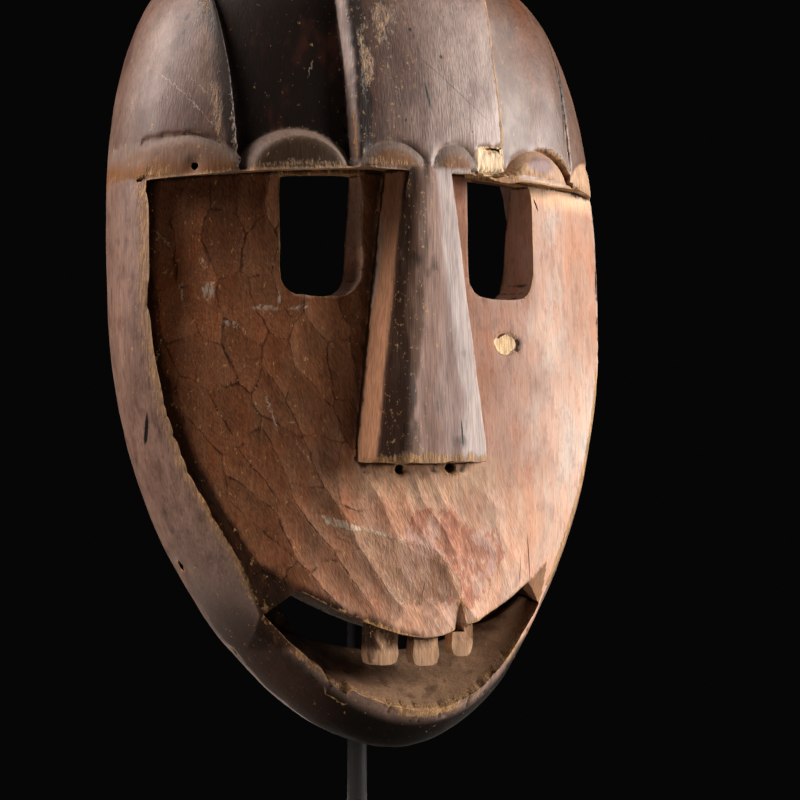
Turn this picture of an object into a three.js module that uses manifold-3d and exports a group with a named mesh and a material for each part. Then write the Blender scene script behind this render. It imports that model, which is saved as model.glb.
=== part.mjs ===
// A carved wooden face mask held up on a thin steel post with a flat foot.
// Millimetres, +Z up. The mask looks along -Y, and +X is on the viewer's right.
// The origin is the middle of the foot's underside, with the post standing on it.
import * as THREE from 'three';
import { mergeVertices } from 'three/addons/utils/BufferGeometryUtils.js';
import Module from 'manifold-3d';

const wasm = await Module();
wasm.setup();

// Stand
const baseWidth = 170;
const baseDepth = 140;
const baseHeight = 12;
const baseEdge = 1.5;
const postRadius = 4;
const postTip = 1.2;
const chinHeight = 82;
const touch = 0.3;

// Egg-shaped outside of the mask; heights on the mask are measured up from the chin
const widestHeight = 164;
const chinReach = 167;
const crownReach = 162;
const chinRoundness = 1.78;
const crownRoundness = 3;
const halfWidth = 108;
const axisStations = [
  [0, 28], [14, 24], [42, 17], [96, 9], [164, 4], [220, -1], [276, -6.5], [326, -15],
];
const depthStations = [
  [0, 92], [14, 88], [42, 69], [76, 68], [115, 62],
  [164, 60], [220, 63.5], [276, 68], [300, 77], [326, 86],
];
const skinSides = 60;
const skinLevels = 34;
const backAtChin = 5.5;
const backLean = 0.157;

// Hollow behind the face
const hollowHalfWidth = 94;
const hollowChinReach = 160;
const hollowCrownReach = 149;
const hollowFront = [
  [4, 7], [18, 15], [34, 28], [56, 38], [90, 39], [130, 37],
  [190, 35], [228, 40], [262, 42], [290, 33], [313, 12],
];
const hollowSides = 40;
const hollowLevels = 22;

// Sunk face
const browHeight = 224.5;
const browDrop = 5;
const faceFloor = 30;
const faceFloorRise = 23;
const faceMidline = [[30, 61], [42, 60.2], [70, 57.5], [111, 53.5], [164, 51], [225, 48.5]];
const rimEdge = [
  [53, 62.5], [76, 73.2], [96, 84.2], [115, 91.9], [140, 98.5], [164, 101.6], [225, 100.6],
];
const rimWall = [[53, 1], [76, 1.6], [96, 2.8], [115, 5], [164, 12.5], [192, 14], [225, 8.5]];
const rightWallShare = 0.12;
const leastWall = 1;
const faceCrown = 2.6;
const faceColumns = 26;
const faceRows = 18;

// Nose
const noseFoot = 111;
const noseFootHalf = 23.2;
const noseTopHalf = 8.1;
const noseFlare = 5.5;
const noseFootFront = 66.6;
const noseTopFront = 61.3;
const noseBevelDeep = 0.16;
const noseBevelLeft = 0.38;
const noseBevelRight = 0.55;
const noseRoot = 5;
const noseRise = 2;
const nostrils = { across: 10.5, front: 56, radius: 2.8, below: 4.5, above: 7 };

// Eyes
const eyeInner = 23.5;
const eyeOuterLeft = 55.7;
const eyeOuterRight = 57.2;
const eyeSill = 175;
const eyeHead = 1.6;
const eyeCorner = 10;
const eyeTaper = 0.41;
const eyeMid = 42;
const eyeFront = 56;
const eyeBack = 18;

// Mouth and teeth
const mouthHalf = 62;
const upperLipMid = 43;
const upperLipRise = 20;
const lowerLipMid = 15;
const lowerLipRise = 38;
const lipCut = 51.5;
const mouthSlope = 0.72;
const mouthSlopeFade = 0.75;
const mouthGap = 4;
const mouthSteps = 22;
const mouthDepths = [80, 64, 52, 40, 24];
const teeth = [[-25, -11.6, 33.4], [-5.9, 6, 32.3], [11.9, 21.9, 35.1]];
const toothSetBack = 2.5;
const toothDepth = 5.5;
const toothRoot = 6;
const toothWaist = 1.2;
const toothCorner = 3;
const lipNotch = { from: 12.2, to: 17.9, tip: 14.5, bottom: 44.6, top: 60, front: 90, back: 30 };

// Lobes of the cap and the scalloped band over the brow
const lobeDepth = 5;
const panels = [[-72.5, -31, 15.5], [37.5, 77, 12.5]];
const scallops = [[-15.3, 14.5, 10.5], [11.6, 10.8, 10.5], [-91, 22, 16], [93, 18.5, 13]];
const scallopFoot = 2;
const grooveWidth = 3.2;
const grooveDepth = 2.2;
const grooveReach = { out: 20, into: -16 };
const browChip = { from: 22.5, to: 36.5, bottom: 223, top: 235, depth: 4.5 };

// Holes pierced near the back edge
const tieHoles = [[-1, 71, 11, 2.4], [-1, 37, 14, 2], [1, 71, 11, 2.4], [1, 37, 14, 2]];
const browHole = { across: -88, height: 224, radius: 1.9, length: 44 };
const drillLength = 50;
const drillSides = 10;

// Cutters that run right off the mask end this far out
const pastFront = 130;
const pastBack = -90;
const pastCrown = 360;
const pastAll = 900;

const woodMaterial = new THREE.MeshStandardMaterial({
  name: 'dark_wood', color: 0x6b4a38, roughness: 0.5, metalness: 0,
});
const steelMaterial = new THREE.MeshStandardMaterial({
  name: 'black_steel', color: 0x18181a, roughness: 0.3, metalness: 0.6,
});

// Smooth value at a height, through a few stations of [height, value]
function along(stations, height) {
  const last = stations.length - 1;
  if (height <= stations[0][0]) return stations[0][1];
  if (height >= stations[last][0]) return stations[last][1];
  let i = 0;
  while (height > stations[i + 1][0]) i += 1;
  const slope = (j) => {
    const a = stations[Math.max(j - 1, 0)];
    const b = stations[Math.min(j + 1, last)];
    return (b[1] - a[1]) / (b[0] - a[0]);
  };
  const [h0, v0] = stations[i];
  const [h1, v1] = stations[i + 1];
  const step = h1 - h0;
  const t = (height - h0) / step;
  const rise = v0 * (1 + 2 * t) * (1 - t) ** 2 + v1 * t * t * (3 - 2 * t);
  return rise + step * (slope(i) * t * (1 - t) ** 2 + slope(i + 1) * t * t * (t - 1));
}

// Share of the full width at a height on an egg that is rounder at the chin than at the crown
function girth(height, chin, crown) {
  const below = height < widestHeight;
  const t = Math.abs(height - widestHeight) / (below ? chin : crown);
  const n = below ? chinRoundness : crownRoundness;
  return Math.max(1 - t ** n, 0) ** (1 / n);
}

// Point on the outside: angle 0 faces front, and inset is measured inwards
function outsidePoint(angle, height, inset) {
  const share = girth(height, chinReach, crownReach);
  const across = Math.max(halfWidth * share - inset, 0);
  const deep = Math.max(along(depthStations, height) * share - inset, 0);
  const front = along(axisStations, height) + deep * Math.cos(angle);
  return new THREE.Vector3(across * Math.sin(angle), -front, height);
}

// How far forward the outside stands at a place across and a height
function outsideFront(x, height, inset = 0) {
  const share = girth(height, chinReach, crownReach);
  const t = Math.min(Math.abs(x) / (halfWidth * share - inset), 1);
  const deep = along(depthStations, height) * share - inset;
  return along(axisStations, height) + deep * Math.sqrt(1 - t * t);
}

function browLine(x) {
  return browHeight - browDrop * (x / 100) ** 2;
}

function upperLip(x) {
  return upperLipMid + upperLipRise * (Math.abs(x) / lipCut) ** 1.5;
}

function lowerLip(x) {
  return lowerLipMid + lowerLipRise * (x / mouthHalf) ** 2;
}

// Sunk face: nearly flat in the middle, falling away to the foot of the rim on the left and
// running up to a thin edge on the right
function faceFront(x, height) {
  const edge = along(rimEdge, height);
  const middle = along(faceMidline, height);
  const wall = Math.max(along(rimWall, height) * (x > 0 ? rightWallShare : 1), leastWall);
  const foot = outsideFront(edge, height) - wall;
  return middle - (middle - foot) * Math.min(Math.abs(x) / edge, 1.05) ** faceCrown;
}

function hollowPoint(angle, height) {
  const side = hollowHalfWidth * girth(height, hollowChinReach, hollowCrownReach);
  const reach = Math.cos(angle) > 0 ? along(hollowFront, height) : side;
  return new THREE.Vector3(side * Math.sin(angle), -reach * Math.cos(angle), height);
}

function toSolid(geometry) {
  const bare = geometry.clone();
  bare.deleteAttribute('normal');
  bare.deleteAttribute('uv');
  const merged = mergeVertices(bare, 1e-4);
  const vertProperties = Float32Array.from(merged.attributes.position.array);
  const triVerts = Uint32Array.from(merged.index.array);
  const solid = new wasm.Manifold(new wasm.Mesh({ numProp: 3, vertProperties, triVerts }));
  if (solid.volume() > 0) return solid;
  triVerts.reverse();
  return new wasm.Manifold(new wasm.Mesh({ numProp: 3, vertProperties, triVerts }));
}

function toGeometry(solid) {
  const mesh = solid.getMesh();
  const geometry = new THREE.BufferGeometry();
  const positions = Float32Array.from(mesh.vertProperties);
  geometry.setAttribute('position', new THREE.BufferAttribute(positions, 3));
  geometry.setIndex(new THREE.BufferAttribute(Uint32Array.from(mesh.triVerts), 1));
  geometry.computeVertexNormals();
  return geometry;
}

// Closed skin over a stack of rings that all have the same number of points
function loft(rings, capPlane) {
  const count = rings[0].length;
  const positions = rings.flat().flatMap((p) => [p.x, p.y, p.z]);
  const index = [];
  for (let r = 0; r + 1 < rings.length; r += 1) {
    for (let i = 0; i < count; i += 1) {
      const j = (i + 1) % count;
      const a = r * count + i;
      const b = r * count + j;
      index.push(a, b, b + count, a, b + count, a + count);
    }
  }
  const cap = (ring, first, forward) => {
    const flat = ring.map((p) => new THREE.Vector2(p.x, capPlane === 'xy' ? p.y : p.z));
    const turn = THREE.ShapeUtils.isClockWise(flat);
    for (const [a, b, c] of THREE.ShapeUtils.triangulateShape(flat, [])) {
      const sameTurn = THREE.ShapeUtils.isClockWise([flat[a], flat[b], flat[c]]) === turn;
      if (sameTurn === forward) index.push(first + a, first + b, first + c);
      else index.push(first + a, first + c, first + b);
    }
  };
  cap(rings[0], 0, false);
  cap(rings[rings.length - 1], (rings.length - 1) * count, true);
  const geometry = new THREE.BufferGeometry();
  geometry.setAttribute('position', new THREE.Float32BufferAttribute(positions, 3));
  geometry.setIndex(index);
  return toSolid(geometry);
}

// Egg between two poles, from a function that gives a point at an angle and a height
function egg(point, low, high, sides, levels) {
  const rings = [];
  for (let l = 1; l < levels; l += 1) {
    const t = -Math.PI / 2 + (Math.PI * l) / levels;
    const reach = t < 0 ? widestHeight - low : high - widestHeight;
    const height = widestHeight + reach * Math.sin(t);
    rings.push(Array.from({ length: sides }, (_, i) => point((2 * Math.PI * i) / sides, height)));
  }
  return loft(rings, 'xy');
}

// Outline in the front view, drawn out from front to back
function frontPrismGeometry(outline, front, back) {
  const shape = new THREE.Shape(outline.map(([x, z]) => new THREE.Vector2(x, z)));
  const depth = front - back;
  const geometry = new THREE.ExtrudeGeometry(shape, { depth, bevelEnabled: false });
  geometry.rotateX(Math.PI / 2);
  geometry.translate(0, -back, 0);
  return geometry;
}

function frontPrism(outline, front, back) {
  return toSolid(frontPrismGeometry(outline, front, back));
}

function outside(inset = 0) {
  const low = widestHeight - chinReach + inset;
  const high = widestHeight + crownReach - inset;
  const point = (angle, height) => outsidePoint(angle, height, inset);
  return egg(point, low, high, skinSides, skinLevels);
}

function hollow() {
  const low = widestHeight - hollowChinReach;
  const high = widestHeight + hollowCrownReach;
  return egg(hollowPoint, low, high, hollowSides, hollowLevels);
}

// Everything behind the leaning plane of the back edge
function behind() {
  const geometry = new THREE.BoxGeometry(pastAll, pastAll, pastAll);
  geometry.translate(0, pastAll / 2, 0);
  geometry.rotateX(-Math.atan(backLean));
  geometry.translate(0, -backAtChin, 0);
  return toSolid(geometry);
}

// Room in front of the sunk face, from the mouth up to the brow
function faceRoom() {
  const rings = [];
  for (let r = 0; r <= faceRows; r += 1) {
    const t = r / faceRows;
    const edgeHeight = THREE.MathUtils.lerp(faceFloor + faceFloorRise, browLine(100), t);
    const reach = along(rimEdge, edgeHeight);
    const floor = (u) => faceFloor + faceFloorRise * u * u;
    const heightAt = (u) => THREE.MathUtils.lerp(floor(u), browLine(reach * u), t);
    const ring = [];
    for (let c = 0; c <= faceColumns; c += 1) {
      const u = Math.sin((Math.PI / 2) * (-1 + (2 * c) / faceColumns));
      const height = heightAt(u);
      ring.push(new THREE.Vector3(reach * u, -faceFront(reach * u, height), height));
    }
    ring.push(new THREE.Vector3(reach, -pastFront, heightAt(1)));
    ring.push(new THREE.Vector3(-reach, -pastFront, heightAt(-1)));
    rings.push(ring);
  }
  return loft(rings, 'xy');
}

// Nose: a long wedge whose front has three facets, the right one the widest
function nose() {
  const rows = [
    [noseFoot, noseFootHalf, noseFootFront],
    [browHeight + noseRise, noseTopHalf, noseTopFront],
  ];
  const rings = rows.map(([height, half, front]) => {
    const root = faceFront(0, height) - noseRoot;
    const side = (bevel) => [
      [half + noseFlare + 1.5, root],
      [half + 1, front - noseBevelDeep * half],
      [half - bevel * half, front],
    ];
    const left = side(noseBevelLeft).map(([x, f]) => new THREE.Vector3(-x, -f, height));
    const right = side(noseBevelRight).map(([x, f]) => new THREE.Vector3(x, -f, height));
    return [...left, ...right.reverse()];
  });
  return loft(rings, 'xy');
}

// Gouge under the nose, pointed downwards
function nostril(side) {
  const { across, front, radius, below, above } = nostrils;
  const geometry = new THREE.ConeGeometry(radius, below + above, 8);
  geometry.rotateX(Math.PI);
  geometry.translate(side * across, -front, noseFoot + (above - below) / 2);
  return toSolid(geometry);
}

// Quarter turn of an outline round a corner's centre
function corner(x, z, radius, start, steps = 4) {
  return Array.from({ length: steps + 1 }, (_, i) => {
    const angle = start + (Math.PI / 2) * (i / steps);
    return [x + radius * Math.cos(angle), z + radius * Math.sin(angle)];
  });
}

// Eye opening, narrower at the back on its outer side
function eye(side) {
  const outline = (outer) => [
    [eyeInner, browLine(eyeInner) - eyeHead],
    ...corner(eyeInner + eyeCorner, eyeSill + eyeCorner, eyeCorner, Math.PI),
    ...corner(outer - eyeCorner, eyeSill + eyeCorner, eyeCorner, 1.5 * Math.PI),
    [outer, browLine(outer) - eyeHead],
  ];
  const eyeOuter = side < 0 ? eyeOuterLeft : eyeOuterRight;
  const at = (reach) => outline(eyeOuter + eyeTaper * (reach - eyeMid))
    .map(([x, z]) => new THREE.Vector3(side * x, -reach, z));
  return loft([at(eyeFront), at(eyeBack)], 'xz');
}

// Mouth: a crescent whose floor climbs towards the back
function mouth() {
  const lipFront = (x) => outsideFront(x, lowerLip(x));
  const ringAt = (front) => {
    const lower = [];
    const upper = [];
    for (let i = 0; i <= mouthSteps; i += 1) {
      const x = mouthHalf * (-1 + (2 * i) / mouthSteps);
      const top = lipCut * (-1 + (2 * i) / mouthSteps);
      const fade = 1 - mouthSlopeFade * (x / mouthHalf) ** 2;
      const climb = mouthSlope * (lipFront(x) - front) * fade;
      const floor = Math.min(lowerLip(x) + climb, upperLip(top) - mouthGap);
      lower.push(new THREE.Vector3(x, -front, floor));
      upper.push(new THREE.Vector3(top, -front, upperLip(top)));
    }
    return [...lower, ...upper.reverse()];
  };
  return loft(mouthDepths.map(ringAt), 'xz');
}

function tooth([left, right, tip]) {
  const root = upperLip((left + right) / 2) + toothRoot;
  const outline = [
    [left + toothWaist, root], [left, tip + 4], [left + 1, tip + 0.8], [left + toothCorner, tip],
    [right - toothCorner, tip], [right - 1, tip + 0.8], [right, tip + 4], [right - toothWaist, root],
  ];
  const front = faceFront((left + right) / 2, root) - toothSetBack;
  return frontPrism(outline, front, front - toothDepth);
}

// Half-round outline standing on the brow round a middle; reach is its half width
function halfRound(middle, reach, height, grow = 0, steps = 12) {
  const foot = browLine(middle) - scallopFoot;
  return Array.from({ length: steps + 1 }, (_, i) => {
    const angle = Math.PI * (1 - i / steps);
    const rise = (height + scallopFoot + grow) * Math.sin(angle);
    return [(reach + grow) * Math.cos(angle), foot + rise];
  });
}

// Sunk panel between two lobes, running up from its scallop over the crown
function sunkPanel([left, right, height], core) {
  const middle = (left + right) / 2;
  const arc = halfRound(middle, (right - left) / 2, height).map(([x, z]) => [x + middle, z]);
  const outline = [...arc, [right, pastCrown], [left, pastCrown]];
  return frontPrism(outline, pastFront, pastBack).subtract(core);
}

// Angle of the outside's outward direction from straight ahead
function surfaceTurn(across, height) {
  const share = girth(height, chinReach, crownReach);
  const forward = outsideFront(across, height) - along(axisStations, height);
  const depth = along(depthStations, height) * share;
  return Math.atan((across / (halfWidth * share) ** 2) / (forward / depth ** 2));
}

// Groove round a scallop that lies on a raised lobe
function scallopGroove([middle, reach, height], core) {
  const outer = halfRound(middle, reach, height);
  const inner = halfRound(middle, reach, height, -grooveWidth);
  const foot = browLine(middle);
  const outline = [...outer, ...inner.reverse()];
  const geometry = frontPrismGeometry(outline, grooveReach.out, grooveReach.into);
  geometry.rotateZ(surfaceTurn(middle, foot));
  geometry.translate(middle, -outsideFront(middle, foot), 0);
  return toSolid(geometry).subtract(core);
}

function tieHole([side, height, front, radius]) {
  const geometry = new THREE.CylinderGeometry(radius, radius, drillLength, drillSides);
  geometry.rotateZ(Math.PI / 2);
  const x = side * halfWidth * girth(height, chinReach, crownReach);
  geometry.translate(x, -front, height);
  return toSolid(geometry);
}

function browDrill() {
  const { across, height, radius, length } = browHole;
  const geometry = new THREE.CylinderGeometry(radius, radius, length, drillSides);
  geometry.rotateZ(surfaceTurn(across, height));
  geometry.translate(across, -outsideFront(across, height), height);
  return toSolid(geometry);
}

// Split in the upper lip, narrowing upwards
function notch() {
  const { from, to, tip, bottom, top, front, back } = lipNotch;
  return frontPrism([[from, bottom], [to, bottom], [tip, top]], front, back);
}

// Piece broken off the band over the brow
function chip() {
  const { from, to, bottom, top, depth } = browChip;
  const outline = [[from, bottom], [to, bottom], [to - 2, top], [from + 3, top - 1]];
  return frontPrism(outline, pastFront, 0).subtract(outside(depth));
}

function carveMask() {
  const skin = outside();
  const core = outside(lobeDepth);
  const grooveCore = outside(grooveDepth);
  let solid = skin.subtract(behind()).subtract(faceRoom());
  for (const panel of panels) solid = solid.subtract(sunkPanel(panel, core));
  for (const scallop of scallops) solid = solid.subtract(scallopGroove(scallop, grooveCore));
  solid = solid.add(nose()).subtract(hollow());
  for (const side of [-1, 1]) solid = solid.subtract(eye(side));
  solid = solid.subtract(mouth());
  for (const side of [-1, 1]) solid = solid.subtract(nostril(side));
  for (const span of teeth) solid = solid.add(tooth(span));
  solid = solid.subtract(notch()).subtract(chip());
  for (const hole of tieHoles) solid = solid.subtract(tieHole(hole));
  return solid.subtract(browDrill());
}

function makeMask() {
  const geometry = toGeometry(carveMask());
  const mesh = new THREE.Mesh(geometry, woodMaterial);
  mesh.name = 'mask';
  mesh.position.z = chinHeight;
  return mesh;
}

function makePost() {
  const crownInside = widestHeight + hollowCrownReach * Math.cos(Math.PI / hollowLevels);
  const top = chinHeight + crownInside - touch;
  const low = baseHeight + touch;
  const profile = [
    [0, low], [postRadius, low], [postRadius, top - postTip], [postRadius - postTip, top], [0, top],
  ];
  const geometry = new THREE.LatheGeometry(profile.map(([r, z]) => new THREE.Vector2(r, z)), 24);
  geometry.rotateX(Math.PI / 2);
  const mesh = new THREE.Mesh(geometry, steelMaterial);
  mesh.name = 'stand_post';
  return mesh;
}

function makeBase() {
  const w = baseWidth / 2 - baseEdge;
  const d = baseDepth / 2 - baseEdge;
  const outline = [[-w, -d], [w, -d], [w, d], [-w, d]];
  const shape = new THREE.Shape(outline.map(([x, y]) => new THREE.Vector2(x, y)));
  const geometry = new THREE.ExtrudeGeometry(shape, {
    depth: baseHeight - 2 * baseEdge,
    bevelEnabled: true,
    bevelThickness: baseEdge,
    bevelSize: baseEdge,
    bevelSegments: 1,
  });
  geometry.translate(0, 0, baseEdge);
  const mesh = new THREE.Mesh(geometry, steelMaterial);
  mesh.name = 'stand_base';
  return mesh;
}

const object = new THREE.Group();
object.add(makeMask(), makePost(), makeBase());

export default object;
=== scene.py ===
import itertools
import math

import bmesh
import bpy
import numpy as np
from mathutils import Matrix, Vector


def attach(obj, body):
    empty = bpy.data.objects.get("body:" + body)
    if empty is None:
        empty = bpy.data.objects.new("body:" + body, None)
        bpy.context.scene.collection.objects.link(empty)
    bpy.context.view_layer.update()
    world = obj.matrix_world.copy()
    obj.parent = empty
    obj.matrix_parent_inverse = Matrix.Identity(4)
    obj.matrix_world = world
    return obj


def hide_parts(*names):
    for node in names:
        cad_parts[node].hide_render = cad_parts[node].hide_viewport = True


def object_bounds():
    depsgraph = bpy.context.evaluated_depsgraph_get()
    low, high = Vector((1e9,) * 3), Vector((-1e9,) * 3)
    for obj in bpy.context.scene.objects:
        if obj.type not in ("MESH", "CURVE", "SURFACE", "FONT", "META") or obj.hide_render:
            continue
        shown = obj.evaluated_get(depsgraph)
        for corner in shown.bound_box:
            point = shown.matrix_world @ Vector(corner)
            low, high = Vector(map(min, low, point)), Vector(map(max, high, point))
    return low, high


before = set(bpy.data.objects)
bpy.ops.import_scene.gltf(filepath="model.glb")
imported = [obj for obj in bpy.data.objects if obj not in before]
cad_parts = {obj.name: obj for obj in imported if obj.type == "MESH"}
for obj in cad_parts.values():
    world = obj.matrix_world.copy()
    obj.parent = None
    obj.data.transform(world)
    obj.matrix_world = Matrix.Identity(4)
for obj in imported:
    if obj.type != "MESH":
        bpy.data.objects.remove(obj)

cad_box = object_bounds()
mm = 0.001
chin_height = 82

# The mask's outside, as in the part's source
widest_height = 164
chin_reach = 167
crown_reach = 162
chin_roundness = 1.78
crown_roundness = 3
half_width = 108
axis_stations = [(0, 28), (14, 24), (42, 17), (96, 9), (164, 4), (220, -1), (276, -6.5), (326, -15)]
depth_stations = [
    (0, 92), (14, 88), (42, 69), (76, 68), (115, 62),
    (164, 60), (220, 63.5), (276, 68), (300, 77), (326, 86),
]

# The sunk face and the nose
brow_height = 224.5
brow_drop = 5
rim_edge = [(53, 62.5), (76, 73.2), (96, 84.2), (115, 91.9), (140, 98.5), (164, 101.6), (225, 100.6)]
nose_foot = 111
nose_foot_half = 23.2
nose_top_half = 8.1
nose_front = [(nose_foot, 66.6), (brow_height, 61.3)]
nostrils = [(-9.7, 108.2), (12.7, 108.6)]

# The eye slots: their middle's distance across, how far their walls reach from it, and
# their lowest and highest
eye_middle = 40
eye_reach = 24
eye_foot = 170
eye_top = 223

# The mouth and its teeth
lip_cut = 51.5
upper_lip_middle = 43
upper_lip_rise = 20
mouth_half = 62
lower_lip_middle = 15
lower_lip_rise = 38
teeth_half = 27
teeth_foot = 31
teeth_back = 46

# The cap: its sunk panels from left to right with their scallop's height, and the
# scallops on the raised lobes as middle, half width and height
lobe_depth = 5
panels = [(-72.5, -31, 15.5), (37.5, 77, 12.5)]
scallops = [(-15.3, 14.5, 10.5), (11.6, 10.8, 10.5), (-91, 22, 16), (93, 18.5, 13)]
panel_scallops = [((left + right) / 2, (right - left) / 2, rise) for left, right, rise in panels]
scallop_foot = 2
scallop_groove = 1.25
scallop_chamfer = 4.6
scallop_band = 3.4
lobe_chamfer = 2.6

# The right panel is worn down nearly level with its lobe, between two places across
worn_panel = (48, 76)
worn_share = 0.82

# Damage and holes: places as across and height, half sizes, and depths
brow_chip = 30.1
brow_chip_half = 7.4
brow_chip_rise = 9.5
brow_chip_depth = 1.7
brow_hole = (-88, 224)
brow_hole_reach = 3.4
cheek_chip = (41.6, 157)
cheek_chip_half = (6.8, 4.2)
cheek_chip_depth = 1.1
nostril_half = (2.6, 2.2)
nostril_depth = 3.2
lip_notch = -35
lip_notch_half = 5.5
lip_notch_depth = 2.8

# Triangles left in the hollow and back, and in the whole mask
plain_triangles = 36000
mask_triangles = 192000

# The adze's cuts on the face: their width and length, how far they wander, how deep they
# go, and from which height down they lean, by how much more and more
adze_cut = (10.5, 22)
adze_drift = 9
adze_depth = 1.7
lean_start = 200
lean_growth = 0.0026

# Cracks and dark pits as across, height, length, width and lean from upright in degrees; the two spots
# at the nostrils are painted shade in their pits
cracks = [
    (11.3, 122.5, 12, 1.0, -3), (-100.8, 124, 14, 0.8, -4), (77, 258, 44, 1.7, 8),
    (0.5, 253, 13, 1.1, -12), (14, 256, 50, 0.35, -52), (-4.5, 279, 2, 1.6, 0),
    (8.2, 269, 1.8, 1.4, 0), (60, 214, 6, 1.0, -25), (-10, 243, 1.4, 1.0, 0),
    (20, 240, 1.2, 1.0, 0), (-2, 62, 7, 0.35, 20), (-9.7, 108.9, 3.2, 4.6, 0),
    (12.7, 109.2, 2.8, 4.2, 0), (-83, 283, 4, 1.0, 30), (-85, 277, 3, 0.8, 30),
    (51, 72, 22, 0.5, -6), (46, 68, 14, 0.3, 4),
]

# Chalky smears and scratches on the patina, laid out as the cracks are
smears = [
    (-79.7, 177.3, 8, 4.2, 8), (-61, 170.2, 2.2, 12, 4), (-49, 170.6, 2, 9, -4),
    (-72.5, 164, 2.4, 7, 20), (-56, 173.5, 8, 1.0, 4), (-81, 188, 6, 1.2, -8),
    (-93, 197, 9, 1.2, -38), (-88, 176, 11, 0.9, -4), (62, 196, 5, 1.3, 8),
    (61, 186, 5, 1.8, 0), (86, 170, 14, 1.1, 6), (90, 158, 16, 1.2, 8), (84, 150, 12, 1.0, 4),
    (-88, 251, 34, 0.35, -31), (-84, 255, 12, 0.5, -35), (-44, 262, 9, 0.5, 22),
    (70, 208, 2, 12, -12), (-60, 131, 22, 0.8, -14), (-49, 116, 12, 0.9, -32),
    (-97, 150, 26, 0.4, 12),
]


def srgb(code):
    """Linear colour of an sRGB hex value"""
    parts = [int(code[i:i + 2], 16) / 255 for i in (1, 3, 5)]
    return [c / 12.92 if c <= 0.04045 else ((c + 0.055) / 1.055) ** 2.4 for c in parts] + [1]


def add(tree, kind, inputs=None, out=0, **settings):
    """Adds a node with its settings, sets or links its inputs, and gives one of its outputs"""
    node = tree.nodes.new(kind)
    for name, value in settings.items():
        setattr(node, name, value)
    for socket, value in (inputs or {}).items():
        if isinstance(value, bpy.types.NodeSocket):
            tree.links.new(value, node.inputs[socket])
        else:
            node.inputs[socket].default_value = value
    return node.outputs[out] if node.outputs else node


def along(stations, height):
    """Smooth value at a height, through a few stations of height and value"""
    h, v = np.array(stations, float).T
    slope = np.gradient(v)
    slope[1:-1] = (v[2:] - v[:-2]) / (h[2:] - h[:-2])
    slope[0] = (v[1] - v[0]) / (h[1] - h[0])
    slope[-1] = (v[-1] - v[-2]) / (h[-1] - h[-2])
    x = np.clip(height, h[0], h[-1])
    i = np.clip(np.searchsorted(h, x, side="right") - 1, 0, len(h) - 2)
    step = h[i + 1] - h[i]
    t = (x - h[i]) / step
    rise = v[i] * (1 + 2 * t) * (1 - t) ** 2 + v[i + 1] * t * t * (3 - 2 * t)
    return rise + step * (slope[i] * t * (1 - t) ** 2 + slope[i + 1] * t * t * (t - 1))


def girth(height):
    """Share of the full width at a height"""
    below = height < widest_height
    t = np.abs(height - widest_height) / np.where(below, chin_reach, crown_reach)
    n = np.where(below, chin_roundness, crown_roundness)
    return np.clip(1 - t ** n, 1e-6, 1) ** (1 / n)


def outside_front(x, height):
    """How far forward the uncut outside stands, and how squarely it faces forward there"""
    share = girth(height)
    reach = along(depth_stations, height) * share
    t = np.clip(np.abs(x) / (half_width * share), 0, 0.999)
    root = np.sqrt(1 - t * t)
    slope = reach * t / (half_width * share * root)
    return along(axis_stations, height) + reach * root, 1 / np.sqrt(1 + slope * slope)


def brow(x):
    return brow_height - brow_drop * (x / 100) ** 2


def upper_lip(x):
    return upper_lip_middle + upper_lip_rise * (np.abs(x) / lip_cut) ** 1.5


def lower_lip(x):
    return lower_lip_middle + lower_lip_rise * (x / mouth_half) ** 2


def nose_half(height):
    return np.interp(height, [nose_foot, brow_height], [nose_foot_half, nose_top_half])


def ramp(value, low, high):
    """Smooth step from 0 at low to 1 at high"""
    t = np.clip((value - low) / (high - low), 0, 1)
    return t * t * (3 - 2 * t)


def scatter(cell, seed):
    """Repeatable value from -1 to 1 for a cell of a lattice"""
    n = cell @ np.array([1619, 31337, 6971], np.int64)[:cell.shape[-1]] + seed * 1013
    n = (n << 13) ^ n
    return 1 - ((n * (n * n * 15731 + 789221) + 1376312589) & 0x7fffffff) / 0x40000000


def lumps(points, size, seed=0):
    """Smooth noise from -1 to 1 whose lumps have the given size along each axis"""
    q = points / np.array(size, float)
    cell = np.floor(q).astype(np.int64)
    t = q - cell
    t = t * t * (3 - 2 * t)
    total = 0
    for corner in itertools.product((0, 1), repeat=q.shape[1]):
        weight = np.prod(np.where(corner, t, 1 - t), axis=1)
        total = total + weight * scatter(cell + np.array(corner), seed)
    return total


def from_middle(x, height, middle, half):
    """Elliptical distance from a middle, 1 at the half sizes"""
    return np.hypot((x - middle[0]) / half[0], (height - middle[1]) / half[1])


def place(points):
    """Across, forward and height in mm of points in the frame"""
    return points[:, 0] / mm, -points[:, 1] / mm, points[:, 2] / mm - chin_height


def vertex_array(mesh, name="co"):
    values = np.empty(len(mesh.vertices) * 3)
    mesh.vertices.foreach_get(name, values)
    return values.reshape(-1, 3)


def edge_array(mesh):
    values = np.empty(len(mesh.edges) * 2, np.int64)
    mesh.edges.foreach_get("vertices", values)
    return values.reshape(-1, 2)


def triangle_count(mesh):
    return sum(len(face.vertices) - 2 for face in mesh.polygons)


def finished_mesh(piece):
    """Works the piece's modifiers into its mesh"""
    depsgraph = bpy.context.evaluated_depsgraph_get()
    mesh = bpy.data.meshes.new_from_object(piece.evaluated_get(depsgraph))
    piece.modifiers.clear()
    piece.data = mesh


def neighbour_mean(values, edges, count):
    """Mean of each vertex's neighbours, for the edges given, and how many it has"""
    a, b = edges.T
    degree = np.bincount(a, minlength=count) + np.bincount(b, minlength=count)
    sums = [
        np.bincount(a, values[b, k], count) + np.bincount(b, values[a, k], count)
        for k in range(values.shape[1])
    ]
    return np.stack(sums, axis=1) / np.maximum(degree, 1)[:, None], degree


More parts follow.
